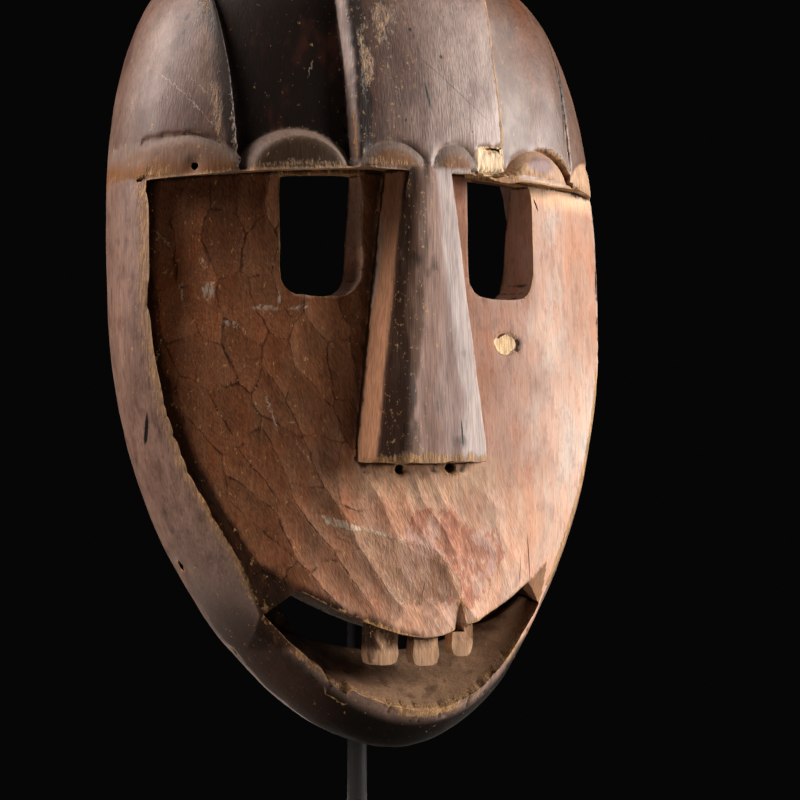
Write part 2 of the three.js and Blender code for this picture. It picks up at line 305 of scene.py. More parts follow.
def close_blank(node):
    """Evenly meshed copy of the mask's solid, with its crisp edges kept"""
    mesh = node.data.copy()
    work = bmesh.new()
    work.from_mesh(mesh)
    bmesh.ops.remove_doubles(work, verts=work.verts, dist=0.002 * mm)
    work.to_mesh(mesh)
    work.free()
    blank = bpy.data.objects.new("mask_carving", mesh)
    bpy.context.scene.collection.objects.link(blank)
    grid = blank.modifiers.new("even grid", "REMESH")
    grid.mode = "SHARP"
    grid.octree_depth = 9
    grid.scale = 0.56
    grid.sharpness = 1
    finished_mesh(blank)
    return blank


def is_tooth(x, forward, height):
    """The teeth and the slot round them"""
    front, square = outside_front(x, height)
    sunk = (front - forward) * square > 1.5
    row = (height > teeth_foot) & (height < upper_lip(x) + 1) & (np.abs(x) < teeth_half)
    return row & sunk & (forward > teeth_back)


def rub_smooth(mesh, rounds=40, crease=math.radians(14)):
    """Rubs the solid's flat facets into curves, and runs crisp edges into fair lines"""
    work = bmesh.new()
    work.from_mesh(mesh)
    sharp = np.array([e.is_manifold and e.calc_face_angle() > crease for e in work.edges])
    work.free()
    points = vertex_array(mesh)
    edges = edge_array(mesh)
    count = len(points)
    held = np.where(is_tooth(*place(points)), 0.03, 1)
    for _ in range(rounds):
        along_crease, creases = neighbour_mean(points, edges[sharp], count)
        around, _ = neighbour_mean(points, edges, count)
        target = np.where((creases > 1)[:, None], along_crease, around)
        pace = held * np.where(creases > 2, 0.08, 0.5)
        points += pace[:, None] * (target - points)
    mesh.vertices.foreach_set("co", points.ravel())
    mesh.update()


def adze_cells(tree, spot):
    """Nodes for the adze's overlapping cuts, which lean further towards the mouth: the distance from a
    cut's edge, that from its middle, a random value for each cut and the place within it"""
    x, _, z = add(tree, "ShaderNodeSeparateXYZ", {0: spot}).node.outputs
    below = add(tree, "ShaderNodeMath", {0: z, 1: -1 / mm, 2: chin_height + lean_start},
                operation="MULTIPLY_ADD")
    lean = add(tree, "ShaderNodeMath", {0: below, 1: -lean_growth}, operation="MULTIPLY")
    slant = add(tree, "ShaderNodeMath", {0: below, 1: lean}, operation="MULTIPLY")
    across = add(tree, "ShaderNodeMath", {0: x, 1: 1 / mm, 2: slant}, operation="MULTIPLY_ADD")
    flat = add(tree, "ShaderNodeCombineXYZ", {0: across, 1: below})
    waves = {"Vector": spot, "Scale": 1 / (26 * mm), "Detail": 5.0, "Roughness": 0.58}
    drift = add(tree, "ShaderNodeTexNoise", waves, "Color")
    wander = (adze_drift, adze_drift, 0)
    bent = add(tree, "ShaderNodeVectorMath", {0: drift, 1: wander, 2: flat},
               operation="MULTIPLY_ADD")
    stretch = (1 / adze_cut[0], 1 / adze_cut[1], 0)
    cell = add(tree, "ShaderNodeVectorMath", {0: bent, 1: stretch}, operation="MULTIPLY")
    shape = {"Vector": cell, "Scale": 1.0, "Randomness": 0.9}
    edge = add(tree, "ShaderNodeTexVoronoi", shape, "Distance", voronoi_dimensions="2D",
               feature="DISTANCE_TO_EDGE")
    near = add(tree, "ShaderNodeTexVoronoi", shape, voronoi_dimensions="2D", feature="F1").node.outputs
    offset = add(tree, "ShaderNodeVectorMath", {0: cell, 1: near["Position"]}, operation="SUBTRACT")
    return edge, near["Distance"], near["Color"], offset


def sample_adze(piece):
    """Gives for each vertex how far it lies from the middle of its adze cut"""
    tree = bpy.data.node_groups.new("adze_cuts", "GeometryNodeTree")
    for way in ("INPUT", "OUTPUT"):
        tree.interface.new_socket("Geometry", in_out=way, socket_type="NodeSocketGeometry")
    given = add(tree, "NodeGroupInput")
    _, away, _, _ = adze_cells(tree, add(tree, "GeometryNodeInputPosition"))
    kept = add(tree, "GeometryNodeStoreNamedAttribute", {"Geometry": given, "Name": "adze", 3: away},
               data_type="FLOAT", domain="POINT")
    add(tree, "NodeGroupOutput", {0: kept})
    piece.modifiers.new("adze cuts", "NODES").node_group = tree
    finished_mesh(piece)
    layer = piece.data.attributes["adze"]
    values = np.empty(len(piece.data.vertices), np.float32)
    layer.data.foreach_get("value", values)
    piece.data.attributes.remove(layer)
    return values.astype(float)


def scallop_radius(x, height, middle, half, rise):
    """Elliptical radius about a scallop's foot, 1 on its outline"""
    foot = brow(middle) - scallop_foot
    return from_middle(x, height, (middle, foot), (half, rise + scallop_foot))


def carve_cap(x, forward, height):
    """Chamfers the lobes' edges and the scallops, which slope away to their grooves, and gives
    how far forward each point then stands and whether it is on the cap"""
    front, square = outside_front(x, height)
    depth = (front - forward) * square
    cut = depth.copy()
    for left, right, _ in panels:
        outward = np.maximum(left - x, x - right) / square
        taper = ramp(height, brow_height + 8, brow_height + 55)
        wide = lobe_chamfer * (0.25 + 0.75 * taper) * np.where(x > 70, 0.3, 1)
        edge = lobe_depth * (1 - outward / wide)
        cut = np.where((outward > -0.5) & (outward < wide), np.maximum(cut, edge), cut)
    discs = [(*scallop, scallop_groove) for scallop in scallops]
    discs += [(*scallop, lobe_depth) for scallop in panel_scallops]
    for middle, half, rise, groove in discs:
        radius = scallop_radius(x, height, middle, half, rise)
        inward = (1 - radius) * (half + rise) / 2
        slope = groove * np.clip(1 - inward / scallop_chamfer, 0, 1) ** 1.3
        cut = np.where(radius < 1.01, slope, cut)
    worn_step = lobe_depth * (1 - worn_share * ramp(x, *worn_panel))
    on_panel = (x > worn_panel[0]) & (x < worn_panel[1] + 3)
    on_panel &= scallop_radius(x, height, *panel_scallops[1]) > 1
    cut = np.where(on_panel, np.minimum(cut, worn_step), cut)
    in_chip = (np.abs(x - brow_chip) < brow_chip_half) & (height < brow_height + brow_chip_rise)
    in_chip &= (height > brow(x) + 0.3) & (forward > 20)
    cut = np.where(in_chip, brow_chip_depth, cut)
    in_hole = np.hypot((x - brow_hole[0]) / square, height - brow_hole[1]) < brow_hole_reach
    on_cap = (height > brow(x) + 0.3) & (square > 0.42) & (depth < lobe_depth + 1.2) & (forward > 8)
    on_cap = (on_cap | in_chip) & ~in_hole
    return np.where(on_cap, front - cut / square, forward), on_cap


def is_inside(x, forward, height, normals):
    """The hollow behind the face: it faces the post"""
    inward = normals[:, 0] * x - normals[:, 1] * (forward - 8) < 0
    turned = (-normals[:, 1] < 0.12) | (forward < 12)
    hollow = 47 * np.sqrt(np.clip(1 - (x / 97) ** 2, 0.02, 1))
    return inward & turned & (forward < hollow) & (height > 6) & (height < 320)


def face_region(x, forward, height):
    """1 on the sunk face, 0 elsewhere"""
    front, square = outside_front(x, height)
    edge = along(rim_edge, height)
    sunk = np.where(x > 30, 1, ramp((front - forward) * square, 0.8, 2.2))
    inside = ramp(edge - np.abs(x), -1.5, 0.5) * ramp(brow(x) - height, -0.5, 1)
    return inside * np.where(height > 100, sunk, 1) * ramp(height, 36, 42)


def tooled(x, height):
    """How strongly the adze's cuts show: least on the smooth right cheek"""
    left = 1 - ramp(x, -15, 30)
    low = 0.6 * (1 - ramp(x, 35, 66)) * ramp(-height, -118, -92)
    return np.clip(left + low, 0.14, 1)


def carve(mesh, adze):
    """All the relief that the knife, wear and damage left on the wood"""
    points = vertex_array(mesh)
    edges = edge_array(mesh)
    x, forward, height = place(points)
    forward, on_cap = carve_cap(x, forward, height)
    points[:, 1] = -forward * mm
    for _ in range(2):
        around, _ = neighbour_mean(points, edges, len(points))
        points[on_cap] += 0.5 * (around - points)[on_cap]
    mesh.vertices.foreach_set("co", points.ravel())
    mesh.update()

    normals = vertex_array(mesh, "normal")
    x, forward, height = place(points)
    spot = np.stack([x, forward, height], axis=1)
    inside = is_inside(x, forward, height, normals)
    tooth = is_tooth(x, forward, height)
    front, _ = outside_front(x, height)
    nose = (np.abs(x) < nose_half(height) + 6) & (height > nose_foot - 4) & (height < brow(x))
    face = face_region(x, forward, height) * (~inside) * (normals[:, 1] < -0.3)

    # The adze's scoops on the face, low waves all over, and the gouge's marks in the hollow
    scoop = adze_depth * np.minimum(adze, 0.8) ** 2 - 0.3
    relief = scoop * face * tooled(x, height) * np.where(nose, 0, 1)
    relief += 0.24 * lumps(spot, (11, 11, 26), 11) * np.where(on_cap, 0.55, 1)
    relief += 0.08 * lumps(spot, (3.5, 3.5, 10), 12)
    relief -= 0.4 * ramp(height, 296, 318)
    relief += nose * (0.45 * lumps(spot, (6, 30, 26), 13) + 0.2 * lumps(spot, (4, 9, 8), 14))
    gouges = 0.4 * lumps(spot, (13, 13, 19), 15) + 0.25 * lumps(spot, (6, 6, 9), 16)
    relief = np.where(inside, gouges, relief)

    # The chip on the cheek, the nostrils, and splinters at the nose's end and on the lip
    away = from_middle(x, height, cheek_chip, cheek_chip_half) + 0.3 * lumps(spot, 3, 21)
    relief -= cheek_chip_depth * (1 - ramp(away, 0.75, 1.05)) * face
    relief += 0.35 * lumps(spot, (1.6, 4, 3), 22) * (away < 0.9) * face
    for middle in nostrils:
        pit = 1 - ramp(from_middle(x, height, middle, nostril_half), 0.3, 1.1)
        relief -= nostril_depth * pit * (forward > 48) * (height < nose_foot)
    ledge = np.abs(height - nose_foot) < 3
    relief -= 0.9 * np.clip(lumps(spot, (2.2, 9, 3), 31), 0, 1) * ledge * (forward > 60)
    lip = ramp(forward - front, -9, -2) * (np.abs(height - lower_lip(x)) < 5)
    lip *= np.abs(x) < mouth_half - 4
    relief -= 0.9 * np.clip(lumps(spot, (1.9, 9, 9), 32), 0, 1) * lip
    relief += tooth * 0.15 * lumps(spot, (1.8, 8, 12), 33)
    points += normals * (relief * mm)[:, None]

    # The notch in the lip, and outlines that wander a little
    gap = np.abs(x - lip_notch + 0.8 * lumps(spot, 3, 34)) / lip_notch_half
    points[:, 2] -= lip_notch_depth * mm * (1 - ramp(gap, 0.5, 1.0)) * lip
    wander = 0.5 * lumps(spot, (34, 34, 24), 41) * ramp(half_width - np.abs(x), 2, 14)
    points[:, 0] += wander * mm * ~tooth
    points[:, 2] = np.minimum(points[:, 2], cad_box[1][2] - 0.05 * mm)
    mesh.vertices.foreach_set("co", points.ravel())
    mesh.update()


def thin(piece, share, group=""):
    """Leaves a share of a piece's triangles, and takes them from one vertex group if it is named"""
    fewer = piece.modifiers.new("fewer triangles", "DECIMATE")
    fewer.ratio = share
    fewer.vertex_group = group
    finished_mesh(piece)


def thin_out(piece):
    """Fewer triangles where the wood is plain, in the hollow and at the back, then all over"""
    mesh = piece.data
    x, forward, height = place(vertex_array(mesh))
    plain = is_inside(x, forward, height, vertex_array(mesh, "normal")) | (forward < -4)
    piece.vertex_groups.new(name="plain").add(np.nonzero(plain)[0].tolist(), 1, "REPLACE")
    thin(piece, 1 - plain.mean() + plain_triangles / triangle_count(mesh), "plain")
    thin(piece, mask_triangles / triangle_count(piece.data))


def set_attribute(mesh, name, values, kind="FLOAT"):
    layer = mesh.attributes.new(name, kind, "POINT")
    field = "value" if kind == "FLOAT" else "color"
    layer.data.foreach_set(field, np.asarray(values, np.float32).ravel())


def mark_regions(mesh):
    """Where each finish lies, with painted light and shade in its tones, kept on the vertices for the
    wood's material
    """
    points = vertex_array(mesh)
    normals = vertex_array(mesh, "normal")
    edges = edge_array(mesh)
    x, forward, height = place(points)
    spot = np.stack([x, forward, height], axis=1)
    inside = is_inside(x, forward, height, normals)
    front, square = outside_front(x, height)
    behind = (front - forward) * square
    blur = lumps(spot, 11, 41)
    broad = lumps(spot, (18, 18, 30), 43)
    fine = lumps(spot, (3, 3, 7), 42)

    # Where the forms lie, each 1 on its form and 0 elsewhere
    cap = ramp(height - brow(x), 0, 1.5)
    face = face_region(x, forward, height) * (1 - cap)
    disc = np.zeros(len(x))
    ring = np.zeros(len(x))
    for middle, half, rise in scallops + panel_scallops:
        radius = scallop_radius(x, height, middle, half, rise)
        band = scallop_band / (half + rise)
        disc = np.maximum(disc, ramp(1.02 - radius, 0, 0.08))
        inner = ramp(radius, 0.97 - 2 * band, 1 - 1.6 * band)
        ring = np.maximum(ring, inner * ramp(-radius, -1.02, -0.98))
    disc *= cap
    ring *= cap
    open_cap = cap * (1 - disc)
    from_outer = x - panels[0][0]
    from_inner = x - panels[0][1]
    from_right = x - panels[1][0]
    left_lobe = open_cap * ramp(-from_outer, -1.5, 0.5)
    panel_dark = open_cap * ramp(from_outer, -1.5, 1.5) * ramp(-from_inner, -2, 1)
    middle_lobe = open_cap * ramp(from_inner, 0, 2) * ramp(-from_right, -2.5, 0.5)
    panel_right = open_cap * ramp(from_right, -0.5, 2.5)
    taper = ramp(height, brow_height + 4, brow_height + 55)
    bevel = ramp(-np.abs(from_inner - 1.7), -0.8 - 1.6 * taper, -0.4 - 1.2 * taper)
    outer_bevel = ramp(-np.abs(from_outer + 1.5), -0.6 - 1.5 * taper, -0.2 - 1.1 * taper)
    bevel = np.maximum(bevel, outer_bevel) * open_cap
    on_nose = ramp(height, nose_foot - 2, nose_foot + 1) * (1 - cap)
    nose_line = along(nose_front, height)
    half = nose_half(height)
    wave = 0.26 * lumps(spot, (60, 60, 15), 46)
    other_wave = 0.26 * lumps(spot, (60, 60, 17), 47)
    on_nose *= ramp(half + 7 - np.abs(x), 0, 1) * ramp(forward - nose_line, -16, -12)
    nose_top = on_nose * ramp(forward - nose_line + 0.16 * half, -2.6, -0.6)
    tooth = is_tooth(x, forward, height)
    mouth = (height < upper_lip(x)) & (height > lower_lip(x) - 2)
    mouth &= (behind > 0.8) & (np.abs(x) < mouth_half + 1)
    below = (height < brow(x)) & (height > brow(x) - 3) & (normals[:, 2] < -0.6)
    eye_wall = ~inside & (forward < 52) & (height > eye_foot) & (height < eye_top)
    eye_wall &= np.abs(np.abs(x) - eye_middle) < eye_reach
    eye_wall &= (np.abs(normals[:, 0]) > 0.7) | (normals[:, 2] > 0.7)
    shaded_chin = ramp(lower_lip(x) - height, 0.5, 7) * ramp(-height, -72, -28)
    shaded_chin *= (behind < 1.2) | (height < 6)
    low_left_shade = ramp(-x, 20, 60) * ramp(-height, -92, -40) * (behind < 3) * (1 - face)

    # The tones, laid one over the other
    low = ramp(-height, -150, -60)
    tone = np.tile(srgb("#886c5f"), (len(x), 1))

    def lay(share, code):
        share = np.clip(np.asarray(share, float), 0, 1)[:, None]
        tone[:] = tone + share * (np.array(srgb(code)) - tone)

    lay(left_lobe, "#775e51")
    lay(left_lobe * ramp(broad, -0.1, 0.7), "#5c3d32")
    lay(middle_lobe, "#5f4337")
    # The middle lobe lighter towards the right: painted light
    lay(middle_lobe * ramp(x + 8 * blur, -22, 12), "#94796e")
    # Painted shade on the lower left outside
    lay(low_left_shade, "#4c3325")
    lay(face, "#80573d")
    # Lighter towards the right and lower down, darker at the upper left under the brow: partly the
    # face's own paler and darker skin, partly painted light from the right and painted shade
    lay(face * low * ramp(x + 14 * blur, -70, 0), "#bb937c")
    lay(face * low * ramp(x + 10 * blur, -20, 40), "#c4a491")
    lay(face * ramp(height, 95, 120) * ramp(x + 10 * blur, -5, 50), "#ac8a7b")
    lay(face * ramp(x + 10 * blur, 40, 85) * ramp(height, 60, 120), "#c6b5aa")
    lay(face * ramp(x, 66, 84) * ramp(height, 118, 168) * 0.8, "#a9806a")
    lay(face * ramp(-x, 25, 75) * ramp(height, 150, 215), "#6b4731")
    lay(face * ramp(height + fine, 211, 217) * ramp(x, 40, 60), "#d2b499")
    lay(face * ramp(-from_middle(x, height, (3, 106), (3.4, 1)), -13, -7) * 0.7, "#b89a80")
    # Painted shadow cast by the nose onto the face at its left
    nose_side_shadow = ramp(-x - half, -1, 1) * ramp(x + half, -15, -4)
    nose_side_shadow *= ramp(height, nose_foot, nose_foot + 12)
    lay(face * nose_side_shadow * 0.85, "#1c0f09")
    lay(on_nose, "#bd8b6b")
    lay(on_nose * (x > 0), "#b08c7c")
    lay(nose_top, "#94766a")
    # The nose's front darker over its left facets and lighter over its right ones: painted shade and
    # painted highlight
    lay(nose_top * ramp(-x - half * (0.34 + wave), -0.8, 0.8), "#64493b")
    lay(nose_top * ramp(-x - half * (0.62 + other_wave), -0.8, 0.8), "#3f2a1e")
    lay(nose_top * ramp(x - half * (0.1 + other_wave), -0.8, 0.8), "#957c74")
    lay(nose_top * ramp(x - half * (0.5 + wave), -0.8, 0.8), "#b0a09b")
    lay(panel_dark, "#1a0e08")
    lay(panel_dark * ramp(broad + fine, 0.2, 1), "#3a1d12")
    lay(panel_right, "#6b4c3b")
    lay(panel_right * ramp(x + 3 * fine, 50, 58) * ramp(-x - 3 * fine, -70, -60), "#6e4229")
    lay(disc, "#7d6252")
    lay(disc * ramp(brow(x) + 8 - height + 3 * blur, 0, 5), "#7b5232")
    lay(disc * (x > 34), "#b89478")
    stain = ramp(0.2 * fine - from_middle(x, height, (57, 229), (9, 4)), -1.1, -0.7)
    lay(disc * (x > 34) * stain, "#8d7470")
    lay(disc * (x < -25) * (x > -75), "#43301f")
    lay(ring * (x < 34), "#7d6a60")
    # The lobes' chamfer strips lighter: a painted highlight
    lay(bevel, "#a39089")
    lay(below, "#80603f")
    lay(mouth, "#846750")
    lay(mouth * ramp(-x, 5, 40), "#5a4132")
    lay(tooth, "#a9876c")
    # Painted shade: the chin under the lip near black, a little browner to the left
    lay(shaded_chin, "#0e0805")
    lay(shaded_chin * ramp(-x, 25, 50), "#33221a")
    lay(eye_wall, "#ad9080")
    lay(inside, "#3f2b20")

    # Wear on edges that stand out, at the scallops' feet, on lobes, rims and lips
    bulge = points.copy()
    for _ in range(3):
        bulge = neighbour_mean(bulge, edges, len(points))[0]
    curve = np.sum((points - bulge) * normals, axis=1) / mm
    worn = ramp(curve, 0.06, 0.4) * 0.62 * (1 - 0.6 * disc)
    worn = np.maximum(worn, disc * ramp(brow(x) + 6 - height + 3 * blur, 0, 6) * 0.5)
    lobe_edge = np.minimum(np.abs(from_outer + 6 + fine), np.abs(from_inner - 6.5 + fine))
    tuft = ramp(lumps(spot, (9, 9, 12), 44), 0.0, 0.5)
    worn = np.maximum(worn, open_cap * ramp(-lobe_edge, -5, -1.5) * (0.16 + 0.3 * tuft))
    worn *= 1 - 0.8 * bevel
    right_edge = ramp(-np.abs(from_right + 1 + 0.6 * fine), -1.6, -0.5)
    worn = np.maximum(worn, open_cap * right_edge * 0.62)
    smear = ramp(-from_middle(x + 4 * fine, height, (-17, 281), (1, 1.6)), -9, -3)
    worn = np.maximum(worn, cap * smear * 0.42)
    edge = along(rim_edge, height)
    rim_foot = np.abs(-x - edge)
    arris = ramp(-x - edge, -1.5, 0) * ramp(x + edge, -5.5, -1)
    worn = np.maximum(worn, arris * ramp(height, 52, 62) * (height < 219) * 0.47)
    right_arris = ramp(x - edge, -2.2, -0.6) * ramp(edge - x, -3.2, -1.2) * (forward > 25)
    worn = np.maximum(worn, right_arris * (height < 218) * (height > 60) * 0.7)
    worn = np.maximum(worn, 0.42 * below)
    lip_front = mouth * ramp(-behind, -7, -3) * (height < lower_lip(x) + 6)
    worn = np.maximum(worn * np.where(mouth | tooth, 0.45, 1), 0.42 * lip_front + 0.3 * tooth)
    under_lip = lower_lip(x) - height
    lip_band = ramp(-under_lip, -4, -2) * (under_lip > -1) * (behind < 1.5) * (np.abs(x) < 50)
    worn = np.maximum(worn, (0.24 + 0.36 * tuft) * lip_band)
    nose_end = on_nose * ramp(nose_foot + 6 - height + 2 * fine, 0, 5)
    worn = np.maximum(worn * (1 - 0.5 * on_nose), nose_end * 0.6)
    worn *= (1 - 0.5 * ramp(-forward, 0, 10)) * ~eye_wall

    # Darker in concave hollows, at the left rim's foot, beside the lobes and just above the lip; dirt
    # in blotches off the face and cap and deeper in the mouth; and a painted shadow under the nose
    dirt_and_shade = ramp(-curve, 0.03, 0.4) * (1 - 0.5 * ring)
    dirt_and_shade = np.maximum(dirt_and_shade, ramp(-rim_foot, -9, -2) * (x < 0) * face)
    dirt_and_shade = np.maximum(dirt_and_shade, 0.45 * ramp(fine + blur, 0.4, 1.2) * (1 - face) * (1 - cap))
    dirt_and_shade = np.maximum(dirt_and_shade, 0.8 * open_cap * ramp(-np.abs(from_inner - 4.5 + fine), -5, -1))
    dirt_and_shade = np.maximum(dirt_and_shade, 0.75 * left_lobe * ramp(from_outer + fine, -9.5, -2.5))
    dirt_and_shade = np.maximum(dirt_and_shade, 0.46 * mouth * ramp(behind, 6, 24))
    # Painted shadow under the nose's foot
    nose_foot_shadow = face * ramp(-from_middle(x, height, (2, 109), (4.2, 1)), -7, -2)
    dirt_and_shade = np.maximum(dirt_and_shade, nose_foot_shadow * (0.3 + 0.2 * fine))
    above_lip = height - upper_lip(x)
    dirt_and_shade = np.maximum(dirt_and_shade, face * ramp(-above_lip, -5, 0) * ramp(-x, -8, 8) * (0.6 + 0.2 * fine))

    # Raw wood in the chips, and the pale place by the mouth that lost its skin, with torn edges
    raw = 1 - ramp(from_middle(x, height, cheek_chip, cheek_chip_half) + 0.3 * fine, 0.7, 1.05)
    raw *= face
    chip = (np.abs(x - brow_chip) < brow_chip_half + 0.2) & (forward > 20)
    chip &= (height > brow(x) - 0.5) & (height < brow_height + brow_chip_rise + 0.2)
    raw = np.maximum(raw, chip)
    from_top = 90 - 0.31 * (x + 37) - height + 0.8 * fine
    from_left = x + 40 - 0.86 * (88 - height) + 1.8 * fine + 1.4 * blur
    loss = np.minimum(np.minimum(from_top, from_left), 9) - np.clip(x - 4, 0, 30) * 0.8
    loss = np.minimum(loss, (height - 57) * 0.7 + 1.6 * fine)
    strip = np.clip(3.8 - 0.095 * (x + 38), 0, 4)
    torn = ramp(from_top, -0.5, 0.3) * ramp(strip - from_top, -0.3, 0.6)
    torn *= (from_left > -1) * ramp(-x, -2, 4)
    shreds = ramp(from_left, -0.5, 0.3) * ramp(-from_left, -2.6, -1) * (from_top > 0) * (height > 55)
    torn = np.maximum(torn, shreds * ramp(lumps(spot, (5, 5, 6), 45), -0.1, 0.4))
    flaky = ramp(0.25 * blur - from_middle(x, height, (12, 74), (32, 30)), -1.1, -0.6)
    skin = face * (1 - on_nose)
    gloss = (1 - face) * (1 - mouth) * (1 - disc * 0.6) * (1 - inside) * (1 - shaded_chin)
    gloss *= (1 - 0.6 * on_nose) * (1 - 0.8 * panel_dark)
    flecked = 1 + 0.05 * nose_top * ramp(-x, -6, 2) + 0.05 * middle_lobe * ramp(-x, -4, 12)
    flecked += 0.02 * disc + skin * (0.05 * ramp(-x, -30, 20) - 0.02)

    set_attribute(mesh, "tone", tone, "FLOAT_COLOR")
    set_attribute(mesh, "worn", worn * ~inside)
    set_attribute(mesh, "dirt_and_shade", dirt_and_shade)
    set_attribute(mesh, "raw", raw * ~inside)
    set_attribute(mesh, "loss", np.where(skin > 0.5, loss, -9))
    set_attribute(mesh, "torn", torn * skin)
    set_attribute(mesh, "flaky", flaky * skin)
    set_attribute(mesh, "face", skin)
    set_attribute(mesh, "tooled", skin * tooled(x, height))
    set_attribute(mesh, "ridged", skin * (1 - ramp(x + 6 * blur, -40, -8)))
    set_attribute(mesh, "bare", 1 - 0.8 * skin)
    set_attribute(mesh, "flecked", flecked)
    set_attribute(mesh, "gloss", gloss)
    set_attribute(mesh, "outer", ~inside)


def old_hardwood():
    """Old carved hardwood, oiled and handled: a dark patina with a soft shine where hands rubbed it, a
    matt reddish face with the adze's cuts, pale fibres at the worn edges, dirt, and painted shade
    along the cuts' edges"""
    material = bpy.data.materials.new("old_hardwood_with_patina")
    material.use_nodes = True
    tree = material.node_tree
    tree.nodes.clear()
    spot = add(tree, "ShaderNodeTexCoord", out="Object")
    colour = add(tree, "ShaderNodeAttribute", out="Color", attribute_name="tone")
    marks = {
        name: add(tree, "ShaderNodeAttribute", out="Fac", attribute_name=name)
        for name in ("worn", "dirt_and_shade", "raw", "loss", "torn", "flaky", "face", "tooled",
                     "ridged", "bare", "flecked", "gloss", "outer")
    }

    # Noises, each so many mm wide and long, upright or leaning
    grain = {}
    for name, width, length, detail, rough, turn in (
        ("pores", 0.5, 5, 1.0, 0.5, 0),
        ("fine", 0.7, 10, 2.0, 0.5, 0),
        ("streak", 5, 60, 3.0, 0.55, 0),
        ("blotch", 12, 19, 4.0, 0.6, 0),
        ("mottle", 4.5, 9, 5.0, 0.68, 0),
        ("fibre", 1.1, 4, 4.0, 0.75, 0),
        ("fleck", 1.8, 2.6, 4.0, 0.74, 0),
        ("rasp", 0.45, 7, 2.0, 0.6, -24),
    ):
        at = add(tree, "ShaderNodeMapping", {
            "Vector": spot, "Rotation": (0, math.radians(turn), 0), "Scale": (1, 1, length / width),
        }, vector_type="TEXTURE")
        settings = {"Vector": at, "Scale": 1 / (width * mm), "Detail": detail, "Roughness": rough}
        grain[name] = add(tree, "ShaderNodeTexNoise", settings)

    edge, away, own, offset = adze_cells(tree, spot)
    # Painted shade along the cuts' edges, strongest on the upright ones
    band = {"Value": edge, "From Min": 0.0, "From Max": 0.085, "To Min": 1.0, "To Max": 0.0}
    cut_edge_shade = add(tree, "ShaderNodeMapRange", band)
    sideways = add(tree, "ShaderNodeMath", {0: add(tree, "ShaderNodeSeparateXYZ", {0: offset})},
                   operation="ABSOLUTE")
    band = {"Value": sideways, "From Min": 0.08, "From Max": 0.32, "To Min": 0.35}
    upright = add(tree, "ShaderNodeMapRange", band)
    cut_edge_shade = add(tree, "ShaderNodeMath", {0: cut_edge_shade, 1: upright}, operation="MULTIPLY")
    marks["cut_edge_shade"] = add(tree, "ShaderNodeMath", {0: cut_edge_shade, 1: marks["ridged"]}, operation="MULTIPLY")

    # Layers of finish from the bottom up: mark, noise, its amount, from, to, strength, how it
    # covers, colour, and how far it stands up in mm
    height = add(tree, "ShaderNodeMath", {0: grain["fine"], 1: 0.1}, operation="MULTIPLY")
    for mark, noise, amount, low, high, strength, cover, code, stand in (
        ("gloss", "mottle", 1.0, 1.50, 1.62, 0.45, "MULTIPLY", "#a58c82", 0),
        ("gloss", "blotch", 1.0, 1.46, 1.60, 0.4, "MULTIPLY", "#b4a3a0", 0),
        ("face", "blotch", 1.0, 1.47, 1.56, 0.5, "MULTIPLY", "#ffe9da", 0),
        ("face", "mottle", 1.0, 1.52, 1.60, 0.4, "MULTIPLY", "#d2c8cf", 0),
        ("face", "streak", 1.0, 1.52, 1.58, 0.35, "MULTIPLY", "#f0d2c0", 0),
        ("flaky", "mottle", 1.0, 1.44, 1.48, 0.6, "MULTIPLY", "#d9a595", 0),
        ("flaky", "blotch", 1.0, 1.51, 1.55, 0.5, "MIX", "#bfa59c", 0),
        ("gloss", "pores", 1.0, 1.60, 1.70, 0.4, "MIX", "#241610", 0),
        ("face", "pores", 1.0, 1.60, 1.70, 0.22, "MIX", "#3d2318", 0),
        ("loss", "fibre", 6.0, 3.0, 3.6, 0.6, "MIX", "#8f705a", -0.3),
        ("torn", "fibre", 2.4, 1.85, 2.25, 0.8, "MIX", "#b0a08c", 0.15),
        # painted shade along the adze cuts' edges
        ("cut_edge_shade", "mottle", 1.9, 1.46, 2.1, 0.85, "MIX", "#23130b", -0.15),
        # dirt, darkening in hollows, and the painted shadow under the nose
        ("dirt_and_shade", "mottle", 0.7, 0.5, 1.0, 0.88, "MIX", "#1a0f09", 0),
        ("worn", "fibre", 1.1, 0.88, 1.14, 0.88, "MIX", "#b58c5e", 0.2),
        ("flecked", "fleck", 1.0, 1.655, 1.69, 0.75, "MIX", "#bd9668", 0),
        ("raw", "fibre", 0.5, 0.55, 0.8, 1.0, "MIX", "#e6c59a", 0.3),
    ):
        total = add(tree, "ShaderNodeMath", {0: grain[noise], 1: amount, 2: marks[mark]},
                    operation="MULTIPLY_ADD")
        mask = add(tree, "ShaderNodeMapRange", {
            "Value": total, "From Min": low, "From Max": high, "To Max": strength,
        })
        colour = add(tree, "ShaderNodeMix", {0: mask, 6: colour, 7: srgb(code)}, 2, data_type="RGBA",
                     blend_type=cover)
        marks[mark + " shown"] = mask
        if stand:
            grown = add(tree, "ShaderNodeMath", {0: mask, 1: grain[noise]}, operation="MULTIPLY")
            height = add(tree, "ShaderNodeMath", {0: grown, 1: stand * 2, 2: height},
                         operation="MULTIPLY_ADD")

